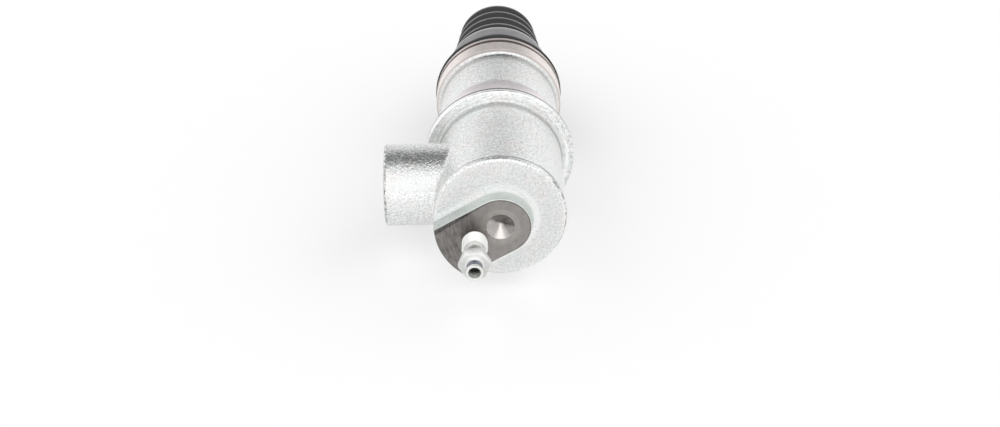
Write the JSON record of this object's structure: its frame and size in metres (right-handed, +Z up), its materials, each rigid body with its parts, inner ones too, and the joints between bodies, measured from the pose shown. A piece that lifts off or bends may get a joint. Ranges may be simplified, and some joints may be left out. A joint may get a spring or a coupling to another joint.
{
  "type": "clutch slave cylinder",
  "caption": "Cast hydraulic clutch slave cylinder with a flange, a turned register, a side fluid port, a bleed screw and a rubber boot over its pushrod.",
  "frame": {"origin": "on the cylinder's axis at the middle of the turned register land", "axes": "+Y along the axis towards the pushrod, -X along the fluid port's boss, +Z up as the picture shows it"},
  "size_m": [0.0751, 0.2097, 0.06],
  "materials": {
    "cast_housing": "zinc-plated sand casting with bare turned lands",
    "plated_steel": "bright zinc plate",
    "piston_alloy": "turned",
    "guide_plastic": "moulded",
    "seal_rubber": "smooth",
    "spring_steel": "oiled",
    "boot_rubber": "satin moulded",
    "rod_steel": "ground and zinc plated"
  },
  "bodies": {
    "cylinder": {"cylinder_body": "cast_housing", "return_spring": "spring_steel", "stop_washer": "plated_steel", "stop_circlip": "spring_steel", "boot": "boot_rubber"},
    "bleed_screw": {"bleed_screw": "plated_steel"},
    "piston": {"piston": "piston_alloy", "piston_guide_band": "guide_plastic", "piston_wiper_seal": "seal_rubber", "piston_cup_seal": "seal_rubber", "cup_expander": "plated_steel", "pushrod_clip": "spring_steel"},
    "pushrod": {"pushrod": "rod_steel"}
  },
  "joints": [
    {"name": "bleed_screw_turn", "type": "hinge", "parent": "cylinder", "child": "bleed_screw", "pos_m": [-0.00995, -0.1054, -0.00671], "axis": [0, -1, 0], "range_deg": [0, 180]},
    {"name": "piston_travel", "type": "slide", "parent": "cylinder", "child": "piston", "axis": [0, 1, 0], "range_m": [-0.02, 0], "stiffness_N_per_m": 600, "springref_m": 0.02, "deforming": ["return_spring", "boot"]},
    {"name": "pushrod_swing", "type": "hinge", "parent": "piston", "child": "pushrod", "pos_m": [0, -0.00921, 0], "axis": [1, 0, 0], "range_deg": [-3, 3], "stiffness_Nm_per_rad": 2, "deforming": ["boot"]}
  ]
}
